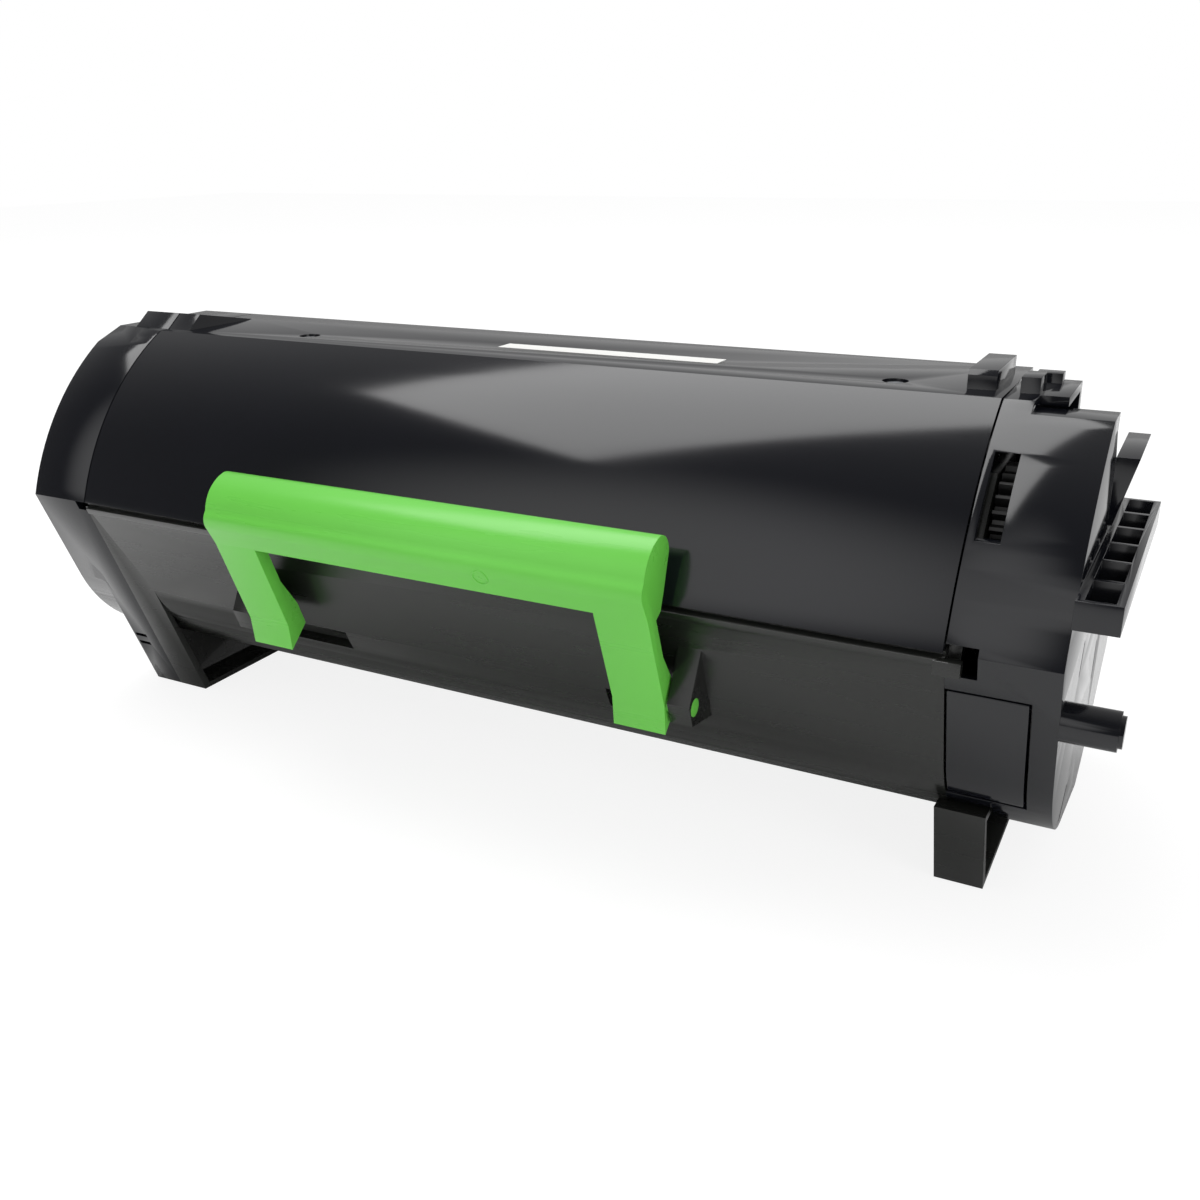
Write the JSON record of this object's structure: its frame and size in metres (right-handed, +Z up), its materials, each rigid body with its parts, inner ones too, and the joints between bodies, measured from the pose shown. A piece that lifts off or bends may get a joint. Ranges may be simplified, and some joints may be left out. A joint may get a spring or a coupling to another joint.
{
  "type": "toner cartridge",
  "caption": "Toner cartridge for a laser printer: a long black tub under a domed lid, with end caps, feet, a locating pin and a swinging green carry handle.",
  "frame": {"origin": "centre of the bounding box at the height of the feet", "axes": "+X along the cartridge towards the locating pin, -Y towards the carry handle, +Z up"},
  "size_m": [0.2938, 0.123, 0.113],
  "materials": {
    "hopper_black": "semi-gloss moulded",
    "shell_black": "high gloss moulded",
    "white_print": "printed film",
    "screw_steel": "zinc plated",
    "chip_green": "solder mask",
    "contact_gold": "gold flash",
    "plug_white": "satin",
    "handle_green": "satin gloss moulded",
    "inner_white": "satin",
    "clear_film": "film",
    "gear_black": "satin",
    "foam_grey": "foam",
    "shutter_black": "satin"
  },
  "bodies": {
    "cartridge": {"hopper": "hopper_black", "lid": "shell_black", "left_end_cap": "shell_black", "right_end_cap": "shell_black", "hatch_panel": "shell_black", "label_strip": "white_print", "top_screws": "screw_steel", "left_cap_screws": "screw_steel", "right_cap_screws": "screw_steel", "chip_board": "chip_green", "chip_contacts": "contact_gold", "fill_plug": "plug_white", "agitator_bush": "gear_black", "auger_bush": "gear_black", "agitator_seal": "foam_grey", "auger_seal": "foam_grey", "shutter_seal": "foam_grey"},
    "carry_handle": {"handle": "handle_green"},
    "agitator": {"agitator_shaft": "inner_white", "agitator_wiper": "clear_film", "agitator_gear": "gear_black"},
    "input": {"input_gear": "gear_black"},
    "idler": {"auger_idler": "gear_black"},
    "auger_screw": {"auger": "inner_white", "auger_gear": "gear_black"},
    "shutter": {"outlet_shutter": "shutter_black"}
  },
  "joints": [
    {"name": "handle_swing", "type": "hinge", "parent": "cartridge", "child": "carry_handle", "pos_m": [-0.0057, -0.04696, 0.04237], "axis": [1, 0, 0], "range_deg": [-8, 90]},
    {"name": "agitator_turn", "type": "hinge", "parent": "cartridge", "child": "agitator", "pos_m": [0, -0.00037, 0.05178], "axis": [1, 0, 0], "continuous": true},
    {"name": "input_turn", "type": "hinge", "parent": "cartridge", "child": "input", "pos_m": [0.12, -0.01734, 0.08239], "axis": [1, 0, 0], "continuous": true},
    {"name": "idler_turn", "type": "hinge", "parent": "cartridge", "child": "idler", "pos_m": [0.12, 0.02961, 0.04617], "axis": [1, 0, 0], "continuous": true},
    {"name": "auger_turn", "type": "hinge", "parent": "cartridge", "child": "auger_screw", "pos_m": [0, 0.04482, 0.03655], "axis": [1, 0, 0], "continuous": true},
    {"name": "shutter_slide", "type": "slide", "parent": "cartridge", "child": "shutter", "axis": [-1, 0, 0], "range_m": [0, 0.02]}
  ],
  "couplings": [
    {"joint": "input_turn", "follows": "agitator_turn", "ratio": -1.5926},
    {"joint": "idler_turn", "follows": "agitator_turn", "ratio": -2.3889},
    {"joint": "auger_turn", "follows": "agitator_turn", "ratio": 2.3889}
  ]
}
